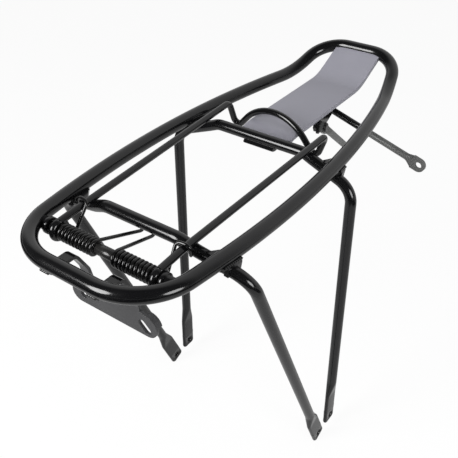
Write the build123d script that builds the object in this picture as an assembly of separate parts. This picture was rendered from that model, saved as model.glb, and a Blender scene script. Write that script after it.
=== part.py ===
from build123d import *
import math
import os

os.makedirs("parts", exist_ok=True)

# Millimetres. +Z up, +Y forward along the bicycle, +X to the rider's right.
# The origin is midway between the two front feet, on the axis of their bolt holes.

# Tube and wire sizes
RAIL_DIA = 10.0
HOOP_DIA = 8.0
CLIP_DIA = 4.8
SPRING_WIRE = 2.2
STAY_DIA = 5.5
AXLE_DIA = 5.0

# Clearances
WELD_GAP = 0.04
RUNNING_FIT = 0.05
TOUCH_GAP = 0.06
HOLE_EASE = 0.01

# Platform loop, seen from above
RAIL_HEIGHT = 246.0
LOOP_REAR_Y = -183.5
LOOP_REAR_CORNER_X = 51.8
LOOP_REAR_BEND = 38.5
LOOP_SIDE_X = 73.6
LOOP_SIDE_Y = -18.0
LOOP_KINK_X = 43.0
LOOP_KINK_Y = 118.0
LOOP_KINK_BEND = 70.0
LOOP_KICK_RUN = 41.0
LOOP_KICK_ANGLE = 25.0
LOOP_FRONT_CORNER_X = 33.2
LOOP_FRONT_BEND = 28.0
LOOP_SIDE_STRAIGHT = 2.0

# Hoops: crossbar, dips under the clip arms, shoulders and legs
CROSSBAR_RISE = 1.0
HOOP_LEG_TOP_X = 75.4
HOOP_FOOT_X = 78.4
HOOP_DIP_BEND = 14.0
HOOP_SHOULDER_BEND = 17.0
REAR_BAR_Y = -126.2
REAR_FOOT_Y = -20.0
REAR_FOOT_Z = -4.0
REAR_FLAT_HALF = 28.5
REAR_DIP_X = 40.0
REAR_DIP_DROP = 6.0
FRONT_FLAT_HALF = 36.0
FRONT_DIP_X = 44.0
FRONT_DIP_DROP = 3.5

# Flattened feet
FOOT_WIDTH = 14.0
FOOT_THICK = 3.4
FOOT_TAPER = 14.0
FOOT_FLAT = 34.0
FOOT_END = 7.6
FOOT_CORNER = 3.0
FOOT_HOLE_DIA = 5.5

# Saddles between rail and hoop
SADDLE_WALL = 1.4
SADDLE_LIP = 2.4
SADDLE_BACK = 4.0
REAR_SADDLE_FRONT = 11.0
FRONT_SADDLE_FRONT = 5.0
SADDLE_DROP = 11.5
SADDLE_FIN_IN = 1.0
SADDLE_FIN_OUT = 5.2
SADDLE_FIN_TIP = 3.2
SADDLE_FIN_TALL = 5.5
WEB_ACROSS = 8.0
WEB_ALONG = 14.0
WEB_TOP = 1.5
WEB_THICK = 3.0
WEB_TUCK = 2.0

# Clip axle, ears and sleeve
AXLE_Y = -157.3
AXLE_DROP = 1.8
EAR_INNER_X = 42.9
EAR_THICK = 3.0
EAR_RADIUS = 5.5
EAR_TAIL = 15.0
AXLE_HEAD_DIA = 8.0
AXLE_HEAD_THICK = 1.2
SLEEVE_HALF = 6.9
SLEEVE_DIA = 7.0

# Clip bail
CLIP_SHIFT = 1.6
CLIP_EYE_X = 38.4
CLIP_EYE_BAND = 3.4
CLIP_KNEE_Y = -136.0
CLIP_KNEE_RISE = 4.7
CLIP_TIP_X = 42.6
CLIP_TIP_Y = 18.6
CLIP_TIP_RISE = 9.2
CLIP_TIP_SKEW = 0.04
CLIP_ARCH_SHIFT = 0.0
CLIP_ARCH_SKEW = 0.10
CLIP_DIP_Y = 20.7
CLIP_DIP_DROP = 7.8
CLIP_DIP_OUTER_X = 38.6
CLIP_DIP_INNER_X = 33.0
CLIP_ARCH_RISE = 11.7
CLIP_ARCH_SLOPE = 49.5
CLIP_KNEE_BEND = 40.0
CLIP_TIP_BEND = 6.0
CLIP_DIP_BEND = 4.2

# Torsion springs
SPRING_RADIUS = 4.65
SPRING_INNER_X = 7.8
SPRING_OUTER_X = 34.6
SPRING_HALF_TURNS = 19
SPRING_HOOK_DROP = 10.2
SPRING_HOOK_RISE = 8.0
SPRING_TAIL_OUT_Y = -147.0
SPRING_HOOK_FALL = 4.0
SPRING_HOOK_Y = -135.6
SPRING_HOOK_LEAD = 1.0
SPRING_HOOK_TRAIL = 0.8
SPRING_BEND = 3.0
SPRING_SIDE_GAP = 0.8
SPRING_OVER_GAP = 0.31

# Deck plate
DECK_HALF = 20.0
DECK_THICK = 1.5
DECK_RISE = 2.2
DECK_FLANGE = 3.2
DECK_BEND = 40.0
DECK_ROLL_Y = 17.0
DECK_ROLL_DROP = 2.0
DECK_ROLL_BEND = 30.0
HOOK_LEFT_X = -11.0
HOOK_RIGHT_X = 14.0
HOOK_THICK = 2.6
HOOK_ROUND = 1.0
HOOK_FRONT_ANGLE = -50.0
HOOK_REAR_ANGLE = -138.0

# Rear light bracket
LIGHT_ARM_X = 18.0
LIGHT_ARM_WIDTH = 7.5
LIGHT_SHEET = 2.0
LIGHT_TAB_DROP = 6.0
LIGHT_TAB_Y = -166.0
LIGHT_KNEE_Y = -158.5
LIGHT_KNEE_DROP = 20.0
LIGHT_PLATE_Y = -156.0
LIGHT_TOP_DROP = 33.0
LIGHT_HOLE_DROP = 46.7
LIGHT_HOLE_SPACING = 50.0
LIGHT_HOLE_DIA = 5.2
LIGHT_SLOT_LENGTH = 11.0
LIGHT_SLOT_ANGLE = 45.0
LIGHT_EAR_RADIUS = 8.0
LIGHT_RIM_DEPTH = 4.0
LIGHT_RIM_WALL = 1.6
LIGHT_BENDS = [4.0, 8.0, 8.0]
LIGHT_TAB_BACK = 1.5
LIGHT_ARM_LAP = 4.0
LIGHT_EAR_OUT = 1.5
LIGHT_EAR_RISE = 1.2
LIGHT_EAR_LESS = 1.0
LIGHT_CORNER_RISE = 8.5
LIGHT_CORNER_RADIUS = 3.0
LIGHT_RIM_LOW = 2.5
LIGHT_RIM_IN = 2.0

# Stay bracket, swivel lugs and stays
BRACKET_INSET = 2.0
BRACKET_CORNER = 5.0
BRACKET_REAR_Y = 52.0
BRACKET_FRONT_Y = 104.0
BRACKET_THICK = 2.0
SWIVEL_INSET = 9.0
RIGHT_SWIVEL_Y = 63.5
LEFT_SWIVEL_Y = 90.0
RIGHT_HEADING = -8.5
LEFT_HEADING = 94.0
RIGHT_DROOP = 37.0
LEFT_DROOP = 14.5
LUG_THICK = 2.0
LUG_RADIUS = 7.0
LUG_EAR_OFFSET = 5.0
LUG_EAR_BACK = 13.5
LUG_EAR_FRONT = 17.0
LUG_EAR_DEPTH = 11.4
LUG_EAR_HEEL = 2.6
LUG_EAR_TIP_TOP = 2.0
LUG_EAR_TIP_LOW = 7.0
LUG_EAR_TOE = 6.0
LUG_EAR_CORNER = 1.2
LUG_PIVOT_BACK = 8.0
LUG_PIVOT_DROP = 5.2
RIVET_DIA = 5.0
RIVET_HEAD_DIA = 7.4
RIVET_HEAD_THICK = 1.4
BOLT_DIA = 5.0
BOLT_HEAD_DIA = 7.4
BOLT_HEAD_THICK = 2.2
BOLT_HEAD_ROUND = 1.0
NUT_ACROSS = 8.0
NUT_THICK = 3.0
STAY_LENGTH = 110.0
STAY_ROOT_WIDTH = 8.4
STAY_FLAT_WIDTH = 11.0
STAY_FLAT_THICK = 2.6
STAY_FLAT_LENGTH = 6.0
STAY_TAPER = 6.0
STAY_EDGE = 0.05
STAY_HOLE_DIA = 5.5

RAIL_R = RAIL_DIA / 2
HOOP_R = HOOP_DIA / 2
CLIP_R = CLIP_DIA / 2
WIRE_R = SPRING_WIRE / 2
AXLE_R = AXLE_DIA / 2
AXLE_Z = RAIL_HEIGHT - AXLE_DROP
BRACKET_HALF = DECK_HALF - BRACKET_INSET
SWIVEL_X = DECK_HALF - SWIVEL_INSET


# Path helpers
def rounded_path(points, radii):
    """Straight runs through the points with a true arc at every inner corner."""
    pts = [Vector(*p) for p in points]
    edges = []
    here = pts[0]
    for before, corner, after, radius in zip(pts, pts[1:], pts[2:], radii):
        into = (corner - before).normalized()
        away = (after - corner).normalized()
        turn = math.acos(max(-1.0, min(1.0, into.dot(away))))
        if turn < 1e-4:
            continue
        reach = radius * math.tan(turn / 2)
        first = corner - into * reach
        last = corner + away * reach
        inward = (away - into).normalized()
        middle = corner + inward * (radius / math.cos(turn / 2) - radius)
        edges.append(Edge.make_line(here, first))
        edges.append(Edge.make_three_point_arc(first, middle, last))
        here = last
    edges.append(Edge.make_line(here, pts[-1]))
    return Wire(edges)


def tube(path, radius):
    """Round bar swept along a path, square to it at the start."""
    start = Plane(path @ 0, z_dir=path % 0)
    return sweep(start * Circle(radius), path=path)


def cylinder_between(first, last, radius):
    """Round pin from one centre point to another."""
    a, b = Vector(*first), Vector(*last)
    return extrude(Plane(a, z_dir=b - a) * Circle(radius), amount=(b - a).length)


def biarc(start, start_dir, end, end_dir):
    """Two tangent arcs from one point and direction to another."""
    chord = end - start
    both = start_dir + end_dir
    spread = 2 * (1 - start_dir.dot(end_dir))
    along = chord.dot(both)
    reach = (-along + math.sqrt(along * along + spread * chord.dot(chord))) / spread
    near = start + start_dir * reach
    far = end - end_dir * reach
    middle = (near + far) * 0.5
    mid_dir = (far - near).normalized()
    return [
        Edge.make_tangent_arc(start, start_dir, middle),
        Edge.make_tangent_arc(middle, mid_dir, end),
    ]


# Platform loop
kick = math.radians(LOOP_KICK_ANGLE)
front_y = LOOP_KINK_Y + LOOP_KICK_RUN * math.cos(kick)
front_z = RAIL_HEIGHT + LOOP_KICK_RUN * math.sin(kick)
rear_corner = Vector(LOOP_REAR_CORNER_X, LOOP_REAR_Y, RAIL_HEIGHT)
side_apex = Vector(LOOP_SIDE_X, LOOP_SIDE_Y, RAIL_HEIGHT)
kink_point = Vector(LOOP_KINK_X, LOOP_KINK_Y, RAIL_HEIGHT)
front_corner = Vector(LOOP_FRONT_CORNER_X, front_y, front_z)


def corner_reach(before, corner, after, radius):
    """Length of straight that a rounded corner takes from each side."""
    into = (corner - before).normalized()
    away = (after - corner).normalized()
    return radius * math.tan(math.acos(into.dot(away)) / 2)


side_in = (side_apex - rear_corner).normalized()
side_out = (kink_point - side_apex).normalized()
side_turn = math.acos(side_in.dot(side_out))
rear_taken = corner_reach(Vector(0, LOOP_REAR_Y, RAIL_HEIGHT), rear_corner, side_apex, LOOP_REAR_BEND)
kink_taken = corner_reach(side_apex, kink_point, front_corner, LOOP_KINK_BEND)
side_free = min(
    (side_apex - rear_corner).length - rear_taken,
    (kink_point - side_apex).length - kink_taken,
)
side_radius = (side_free - LOOP_SIDE_STRAIGHT) / math.tan(side_turn / 2)
side_bow = side_radius / math.cos(side_turn / 2)
side_centre = side_apex + (side_out - side_in).normalized() * side_bow

loop_half_path = rounded_path(
    [
        (0, LOOP_REAR_Y, RAIL_HEIGHT),
        rear_corner,
        side_apex,
        kink_point,
        front_corner,
        (0, front_y, front_z),
    ],
    [LOOP_REAR_BEND, side_radius, LOOP_KINK_BEND, LOOP_FRONT_BEND],
)
loop_right = tube(loop_half_path, RAIL_R)
loop_tube = loop_right + mirror(loop_right, about=Plane.YZ)


def rail_at(y):
    """Centre point and forward direction of the right rail at a given Y."""
    dy = y - side_centre.Y
    dx = math.sqrt(side_radius**2 - dy**2)
    point = Vector(side_centre.X + dx, y, RAIL_HEIGHT)
    return point, Vector(-dy, dx, 0).normalized()


# Hoops
def hoop_plane(foot_y, foot_z, bar_y):
    """Plane of a hoop: X across, Y up the legs, origin on the foot hole axis."""
    up = Vector(0, bar_y - foot_y, RAIL_HEIGHT + CROSSBAR_RISE - foot_z)
    return Plane((0, foot_y, foot_z), x_dir=(1, 0, 0), z_dir=Vector(1, 0, 0).cross(up))


def line_gap(point_a, dir_a, point_b, dir_b):
    """Least distance between two straight lines."""
    normal = dir_a.cross(dir_b).normalized()
    return abs((point_b - point_a).dot(normal))


def shoulder_angle(plane, dip, rail, rail_dir):
    """Slope at which the shoulder runs just under the rail."""
    low, high = math.radians(2), math.radians(60)
    wanted = RAIL_R + HOOP_R + WELD_GAP
    for _ in range(50):
        angle = (low + high) / 2
        way = plane.x_dir * math.cos(angle) - plane.y_dir * math.sin(angle)
        if line_gap(plane.from_local_coords(dip), way, rail, rail_dir) < wanted:
            low = angle
        else:
            high = angle
    return angle


def make_hoop(foot_y, foot_z, bar_y, flat_half, dip_x, dip_drop):
    """One bent tube: raised crossbar, two dips, two shoulders and two flattened feet."""
    plane = hoop_plane(foot_y, foot_z, bar_y)
    bar = math.hypot(bar_y - foot_y, RAIL_HEIGHT + CROSSBAR_RISE - foot_z)
    dip = Vector(dip_x, bar - dip_drop, 0)
    rail, rail_dir = rail_at(bar_y)
    slope = shoulder_angle(plane, dip, rail, rail_dir)
    shoulder = Vector(HOOP_LEG_TOP_X, dip.Y - (HOOP_LEG_TOP_X - dip_x) * math.tan(slope), 0)
    foot = Vector(HOOP_FOOT_X, 0, 0)
    leg_way = (foot - shoulder).normalized()
    leg_end = foot - leg_way * (FOOT_TAPER + FOOT_FLAT - FOOT_END)
    half = [Vector(0, bar, 0), Vector(flat_half, bar, 0), dip, shoulder, leg_end]
    path = rounded_path(
        [plane.from_local_coords(p) for p in half],
        [HOOP_DIP_BEND, HOOP_DIP_BEND, HOOP_SHOULDER_BEND],
    )
    end = plane.from_local_coords(leg_end)
    way = (plane.from_local_coords(foot) - end).normalized()
    top = Plane(end, x_dir=plane.z_dir, z_dir=way)
    flat = top.offset(FOOT_TAPER)
    taper = loft([top * Circle(HOOP_R), flat * SlotOverall(FOOT_WIDTH, FOOT_THICK)])
    paddle = extrude(flat * SlotOverall(FOOT_WIDTH, FOOT_THICK), amount=FOOT_FLAT)
    corner_cut = top.offset(FOOT_TAPER + FOOT_FLAT - FOOT_CORNER)
    end_face = Plane(corner_cut.origin, x_dir=corner_cut.x_dir, z_dir=corner_cut.y_dir)
    end_shape = RectangleRounded(FOOT_WIDTH, 2 * FOOT_CORNER, FOOT_CORNER - HOLE_EASE)
    rounded_end = extrude(end_face * end_shape, amount=FOOT_WIDTH, both=True)
    square_part = extrude(flat * Rectangle(2 * FOOT_WIDTH, FOOT_WIDTH), amount=FOOT_FLAT - FOOT_CORNER)
    paddle = paddle & (square_part + rounded_end)
    half_hoop = tube(path, HOOP_R) + taper + paddle
    hoop = half_hoop + mirror(half_hoop, about=Plane.YZ)
    hole_reach = 2 * HOOP_FOOT_X
    hole_start = (-hole_reach, foot_y, foot_z)
    hole = cylinder_between(hole_start, (hole_reach, foot_y, foot_z), FOOT_HOLE_DIA / 2)
    return hoop - hole


front_hoop = make_hoop(0.0, 0.0, 0.0, FRONT_FLAT_HALF, FRONT_DIP_X, FRONT_DIP_DROP)
rear_hoop = make_hoop(
    REAR_FOOT_Y, REAR_FOOT_Z, REAR_BAR_Y, REAR_FLAT_HALF, REAR_DIP_X, REAR_DIP_DROP
)


# Saddles: half sleeve under the rail with a web on the inner side, cut to the tubes
def biggest(shape):
    """Largest solid of a shape."""
    return max(shape.solids(), key=lambda s: s.volume)


def make_saddle(bar_y, front, hoop):
    """Welded saddle at the crossing of the right rail and a hoop."""
    point, way = rail_at(bar_y)
    outward = Vector(way.Y, -way.X, 0)
    outer = RAIL_R + SADDLE_WALL
    frame = Plane(point - way * SADDLE_BACK, x_dir=outward, z_dir=way)
    low_part = Pos(0, SADDLE_LIP + outer / 2) * Rectangle(2 * outer, outer)
    blank = extrude(frame * (Circle(outer) & low_part), amount=SADDLE_BACK + front)
    fin = [
        (SADDLE_FIN_IN, SADDLE_LIP),
        (SADDLE_FIN_OUT, SADDLE_LIP),
        (SADDLE_FIN_OUT, SADDLE_FIN_TALL),
        (SADDLE_FIN_IN + SADDLE_FIN_TIP, SADDLE_DROP),
        (SADDLE_FIN_IN, SADDLE_DROP),
    ]
    blank += extrude(frame.offset(SADDLE_BACK) * make_face(Polyline(fin, close=True)), amount=front)
    corner = point - outward * (RAIL_R - WEB_TUCK) - Vector(0, 0, WEB_TOP)
    web = [corner, corner - outward * (WEB_ACROSS + WEB_TUCK), corner + way * WEB_ALONG]
    blank += extrude(make_face(Polyline(web, close=True)), amount=WEB_THICK, dir=(0, 0, -1))
    return biggest(blank - loop_tube - hoop)


rear_right_saddle = make_saddle(REAR_BAR_Y, REAR_SADDLE_FRONT, rear_hoop)
front_right_saddle = make_saddle(0.0, FRONT_SADDLE_FRONT, front_hoop)


# Clip axle on two ears
def make_ear():
    """Flat ear from the rear bend of the loop, bored for the axle."""
    side = Plane((EAR_INNER_X, AXLE_Y, AXLE_Z), x_dir=(0, 1, 0), z_dir=(1, 0, 0))
    blank = extrude(side * Circle(EAR_RADIUS), amount=EAR_THICK)
    tail = side * Pos(-EAR_TAIL / 2, 0) * Rectangle(EAR_TAIL, 2 * EAR_RADIUS)
    blank += extrude(tail, amount=EAR_THICK)
    bore = extrude(side * Circle(AXLE_R + RUNNING_FIT), amount=EAR_THICK)
    return biggest(blank - bore - loop_tube)


right_ear = make_ear()
axle_half = EAR_INNER_X + EAR_THICK
clip_axle = cylinder_between((-axle_half, AXLE_Y, AXLE_Z), (axle_half, AXLE_Y, AXLE_Z), AXLE_R)
for side in (-1, 1):
    head_in = side * (axle_half + TOUCH_GAP)
    head_out = side * (axle_half + AXLE_HEAD_THICK)
    neck = cylinder_between((side * axle_half, AXLE_Y, AXLE_Z), (head_out, AXLE_Y, AXLE_Z), AXLE_R)
    head = cylinder_between((head_in, AXLE_Y, AXLE_Z), (head_out, AXLE_Y, AXLE_Z), AXLE_HEAD_DIA / 2)
    clip_axle += neck + head
sleeve_ends = (CLIP_SHIFT - SLEEVE_HALF, AXLE_Y, AXLE_Z), (CLIP_SHIFT + SLEEVE_HALF, AXLE_Y, AXLE_Z)
axle_sleeve = cylinder_between(*sleeve_ends, SLEEVE_DIA / 2)
axle_sleeve -= cylinder_between(*sleeve_ends, AXLE_R + RUNNING_FIT)

# Clip bail: one wire with an eye at each end, two arms, two hanging dips and a finger arch
eye_ring = AXLE_R + RUNNING_FIT + CLIP_R
knee_z = RAIL_HEIGHT + CLIP_KNEE_RISE
tip_z = RAIL_HEIGHT + CLIP_TIP_RISE
dip_z = RAIL_HEIGHT - CLIP_DIP_DROP
arch_slope = math.radians(CLIP_ARCH_SLOPE)
arch_foot = CLIP_DIP_INNER_X * math.tan(arch_slope)
arch_bend = (dip_z + arch_foot - RAIL_HEIGHT - CLIP_ARCH_RISE) / (1 / math.cos(arch_slope) - 1)


def clip_side(side):
    """Points of one side of the clip, from its eye to the inner end of its dip."""
    eye_x = CLIP_SHIFT + side * CLIP_EYE_X
    tip = (CLIP_SHIFT + side * CLIP_TIP_X, CLIP_TIP_Y - side * CLIP_TIP_X * CLIP_TIP_SKEW, tip_z)
    points = [(eye_x, AXLE_Y, AXLE_Z + eye_ring), (eye_x, CLIP_KNEE_Y, knee_z), tip]
    for dip_x in (CLIP_DIP_OUTER_X, CLIP_DIP_INNER_X):
        x = CLIP_ARCH_SHIFT + side * dip_x
        points.append((x, CLIP_DIP_Y - side * dip_x * CLIP_ARCH_SKEW, dip_z))
    return points


clip_bends = [CLIP_KNEE_BEND, CLIP_TIP_BEND, CLIP_DIP_BEND, CLIP_DIP_BEND]
clip_points = clip_side(1) + [(CLIP_ARCH_SHIFT, CLIP_DIP_Y, dip_z + arch_foot)] + clip_side(-1)[::-1]
clip_bail = tube(rounded_path(clip_points, clip_bends + [arch_bend] + clip_bends[::-1]), CLIP_R)
for side in (1, -1):
    eye = Plane((CLIP_SHIFT + side * CLIP_EYE_X, AXLE_Y, AXLE_Z), x_dir=(0, 1, 0), z_dir=(1, 0, 0))
    band = extrude(eye * Circle(eye_ring), amount=CLIP_EYE_BAND / 2, both=True)
    clip_bail += eye.location * Torus(eye_ring, CLIP_R) + band
    clip_bail -= extrude(eye * Circle(AXLE_R + RUNNING_FIT), amount=CLIP_R, both=True)


# Torsion springs: hook under the crossbar, coil round the axle, hook over the clip arm
def coil_point(angle, x):
    """Point on the coil; zero at the top, turning towards the rear."""
    y = AXLE_Y - SPRING_RADIUS * math.sin(angle)
    return Vector(x, y, AXLE_Z + SPRING_RADIUS * math.cos(angle))


def spring_path():
    """Right-hand spring, from the end under the crossbar to the end over the arm."""
    hook_y = REAR_BAR_Y + HOOP_R + WIRE_R + TOUCH_GAP
    hook_z = RAIL_HEIGHT + CROSSBAR_RISE - SPRING_HOOK_DROP
    dy, dz = hook_y - AXLE_Y, hook_z - AXLE_Z
    start = math.atan2(dz, dy) - math.asin(SPRING_RADIUS / math.hypot(dy, dz))
    stop = math.pi * SPRING_HALF_TURNS
    lead = (SPRING_OUTER_X - SPRING_INNER_X) / (stop - start)

    def coil_dir(angle):
        y, z = -SPRING_RADIUS * math.cos(angle), -SPRING_RADIUS * math.sin(angle)
        return Vector(lead, y, z).normalized()

    first = coil_point(start, SPRING_INNER_X)
    first_dir = coil_dir(start)
    hook = first - first_dir * ((first.Y - hook_y) / first_dir.Y)
    tip = hook + Vector(0, 0, SPRING_HOOK_RISE)
    edges = list(rounded_path([tip, hook, first], [SPRING_BEND]).edges())
    steps = [start] + [math.pi * k for k in range(1, SPRING_HALF_TURNS + 1)]
    for a, b in zip(steps, steps[1:]):
        xa = SPRING_INNER_X + lead * (a - start)
        xb = SPRING_INNER_X + lead * (b - start)
        edges += biarc(coil_point(a, xa), coil_dir(a), coil_point(b, xb), coil_dir(b))
    last = coil_point(stop, SPRING_OUTER_X)
    last_dir = coil_dir(stop)
    share = (SPRING_HOOK_Y - CLIP_KNEE_Y) / (CLIP_TIP_Y - CLIP_KNEE_Y)
    arm_x = CLIP_EYE_X + (CLIP_TIP_X - CLIP_EYE_X) * share
    arm_z = knee_z + (tip_z - knee_z) * share
    beside = CLIP_R + WIRE_R + SPRING_SIDE_GAP
    above = CLIP_R + WIRE_R + SPRING_OVER_GAP
    tail = rounded_path(
        [
            last,
            last + last_dir * ((SPRING_TAIL_OUT_Y - last.Y) / last_dir.Y),
            (arm_x - beside, SPRING_HOOK_Y - SPRING_HOOK_LEAD, arm_z + above),
            (arm_x + beside, SPRING_HOOK_Y, arm_z + above),
            (arm_x + beside, SPRING_HOOK_Y + SPRING_HOOK_TRAIL, arm_z - SPRING_HOOK_FALL),
        ],
        [SPRING_BEND, SPRING_BEND, SPRING_BEND],
    )
    return Wire(edges + list(tail.edges()))


def least_self_gap(path, count=900):
    """Least clear gap of a wire to itself, over points further apart than a half turn."""
    pts = [path @ (k / count) for k in range(count + 1)]
    step = path.length / count
    apart = int(math.pi * SPRING_RADIUS / step) + 1
    best = 1e9
    for i in range(0, count, 2):
        for j in range(i + apart, count + 1, 2):
            best = min(best, (pts[i] - pts[j]).length)
    return best - SPRING_WIRE


right_spring_path = spring_path()
print("spring least gap to itself, mm:", round(least_self_gap(right_spring_path), 3))
middle_spring = tube(right_spring_path, WIRE_R)
right_spring = Pos(CLIP_SHIFT, 0, 0) * middle_spring
left_spring = Pos(CLIP_SHIFT, 0, 0) * mirror(middle_spring, about=Plane.YZ)

# Deck plate: folded sheet from the front crossbar up to the front of the loop
deck_top = RAIL_HEIGHT + DECK_RISE
bar_z = RAIL_HEIGHT + CROSSBAR_RISE
deck_rear_y = HOOP_R + WELD_GAP
kick_up = Vector(0, math.cos(kick), math.sin(kick))
deck_kink = Vector(0, LOOP_KINK_Y - DECK_RISE * math.tan(kick / 2), deck_top)
deck_end = deck_kink + kick_up * LOOP_KICK_RUN
deck_rear = (0, deck_rear_y, deck_top - DECK_ROLL_DROP)
deck_path = rounded_path(
    [deck_rear, (0, DECK_ROLL_Y, deck_top), deck_kink, deck_end], [DECK_ROLL_BEND, DECK_BEND]
)
fold = [
    (-DECK_HALF, 0),
    (DECK_HALF, 0),
    (DECK_HALF, -DECK_FLANGE),
    (DECK_HALF - DECK_THICK, -DECK_FLANGE),
    (DECK_HALF - DECK_THICK, -DECK_THICK),
    (DECK_THICK - DECK_HALF, -DECK_THICK),
    (DECK_THICK - DECK_HALF, -DECK_FLANGE),
    (-DECK_HALF, -DECK_FLANGE),
]
deck_section = Plane(deck_rear, x_dir=(-1, 0, 0), z_dir=deck_path % 0)
deck_plate = sweep(deck_section * make_face(Polyline(fold, close=True)), path=deck_path)
bar_clear = HOOP_R + WELD_GAP
bar_space = cylinder_between((-DECK_HALF, 0, bar_z), (DECK_HALF, 0, bar_z), bar_clear)
deck_plate = biggest(deck_plate - bar_space - loop_tube)


# Hook under the front crossbar that takes the load of the deck plate
def polar(radius, degrees):
    """Point at a radius and an angle in degrees."""
    angle = math.radians(degrees)
    return (radius * math.cos(angle), radius * math.sin(angle))


hook_out = bar_clear + HOOK_THICK
hook_mid = (HOOK_FRONT_ANGLE + HOOK_REAR_ANGLE) / 2
hook_front = [polar(radius, HOOK_FRONT_ANGLE) for radius in (bar_clear, hook_out)]
hook_rear = [polar(radius, HOOK_REAR_ANGLE) for radius in (bar_clear, hook_out)]
hook_edges = [
    Line(hook_front[0], hook_front[1]),
    ThreePointArc(hook_front[1], polar(hook_out, hook_mid), hook_rear[1]),
    Line(hook_rear[1], hook_rear[0]),
    ThreePointArc(hook_rear[0], polar(bar_clear, hook_mid), hook_front[0]),
]
hook_plane = Plane((HOOK_LEFT_X, 0, bar_z), x_dir=(0, 1, 0), z_dir=(1, 0, 0))
hook_face = hook_plane * make_face(Wire([e.edge() for e in hook_edges]))
deck_hook = extrude(hook_face, amount=HOOK_RIGHT_X - HOOK_LEFT_X)
hook_arcs = deck_hook.edges().filter_by(GeomType.CIRCLE)
hook_rims = [arc for arc in hook_arcs if arc.radius > bar_clear + HOOK_ROUND]
deck_hook = fillet(hook_rims, HOOK_ROUND)

# Rear light bracket: two bent arms from the rear tube, a plate with a hole and a slot
tab_z = RAIL_HEIGHT - LIGHT_TAB_DROP
light_hole_z = RAIL_HEIGHT - LIGHT_HOLE_DROP
light_arm_path = rounded_path(
    [
        (LIGHT_ARM_X, LOOP_REAR_Y - LIGHT_TAB_BACK, tab_z),
        (LIGHT_ARM_X, LIGHT_TAB_Y, tab_z),
        (LIGHT_ARM_X, LIGHT_KNEE_Y, RAIL_HEIGHT - LIGHT_KNEE_DROP),
        (LIGHT_ARM_X, LIGHT_PLATE_Y, RAIL_HEIGHT - LIGHT_TOP_DROP),
        (LIGHT_ARM_X, LIGHT_PLATE_Y, light_hole_z + LIGHT_ARM_LAP),
    ],
    LIGHT_BENDS,
)
arm_section = Plane(light_arm_path @ 0, x_dir=(1, 0, 0), z_dir=(0, 1, 0))
light_arm = sweep(arm_section * Rectangle(LIGHT_ARM_WIDTH, LIGHT_SHEET), path=light_arm_path)
half_space = LIGHT_HOLE_SPACING / 2
light_face = Plane((0, LIGHT_PLATE_Y, light_hole_z), x_dir=(1, 0, 0), z_dir=(0, -1, 0))
ear_x = half_space + LIGHT_EAR_OUT
ear_spot = Pos(ear_x, LIGHT_EAR_RISE)
plate_outline = make_hull(
    [
        *(Pos(-ear_x - LIGHT_EAR_OUT, 0.0) * Circle(LIGHT_EAR_RADIUS - LIGHT_EAR_LESS)).edges(),
        *(ear_spot * Circle(LIGHT_EAR_RADIUS)).edges(),
        *(Pos(-LIGHT_ARM_X, LIGHT_CORNER_RISE) * Circle(LIGHT_CORNER_RADIUS)).edges(),
        *(Pos(LIGHT_ARM_X, LIGHT_CORNER_RISE) * Circle(LIGHT_CORNER_RADIUS)).edges(),
    ]
)
light_plate = extrude(light_face * plate_outline, amount=LIGHT_SHEET / 2, both=True)
rim = ear_spot * (Circle(LIGHT_EAR_RADIUS) - Circle(LIGHT_EAR_RADIUS - LIGHT_RIM_WALL))
rim_span = 2 * LIGHT_EAR_RADIUS
rim_part = Pos(LIGHT_EAR_RADIUS - LIGHT_RIM_IN, LIGHT_EAR_RADIUS) * Rectangle(rim_span, rim_span)
rim = rim & (Pos(ear_x, LIGHT_RIM_LOW) * rim_part)
light_rim = extrude(light_face * rim, amount=-LIGHT_RIM_DEPTH)
light_bracket = light_plate + light_arm + mirror(light_arm, about=Plane.YZ) + light_rim
hole = extrude(light_face * Pos(-half_space, 0) * Circle(LIGHT_HOLE_DIA / 2), amount=10, both=True)
slot_shape = SlotOverall(LIGHT_SLOT_LENGTH, LIGHT_HOLE_DIA)
slot_face = Pos(half_space, 0) * Rot(0, 0, -LIGHT_SLOT_ANGLE) * slot_shape
slot = extrude(light_face * slot_face, amount=10, both=True)
light_bracket = biggest(light_bracket - hole - slot - loop_tube)

# Stay bracket under the deck plate
deck_under = deck_top - DECK_THICK
bracket_low = deck_under - BRACKET_THICK
bracket_box = Plane((0, (BRACKET_REAR_Y + BRACKET_FRONT_Y) / 2, bracket_low))
bracket_length = BRACKET_FRONT_Y - BRACKET_REAR_Y
stay_bracket = extrude(
    bracket_box * RectangleRounded(2 * BRACKET_HALF, bracket_length, BRACKET_CORNER), amount=BRACKET_THICK
)
swivels = {"right": (SWIVEL_X, RIGHT_SWIVEL_Y), "left": (-SWIVEL_X, LEFT_SWIVEL_Y)}
for sx, sy in swivels.values():
    bore = cylinder_between((sx, sy, bracket_low), (sx, sy, deck_under), RIVET_DIA / 2)
    stay_bracket -= bore


# Swivel lugs and stays
def lug_frame(name):
    """Lug frame at the swivel: X outward, Y along the stay's heading, Z up."""
    sx, sy = swivels[name]
    heading = RIGHT_HEADING if name == "right" else LEFT_HEADING
    angle = math.radians(heading)
    across_dir = Vector(math.cos(angle), -math.sin(angle), 0)
    return Plane((sx, sy, bracket_low - TOUCH_GAP), x_dir=across_dir, z_dir=(0, 0, 1))


leaf_low = -LUG_THICK
pivot_low = leaf_low - LUG_PIVOT_DROP
ear_out = LUG_EAR_OFFSET + LUG_THICK
stay_in = ear_out + TOUCH_GAP
stay_out = stay_in + STAY_FLAT_THICK


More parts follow.
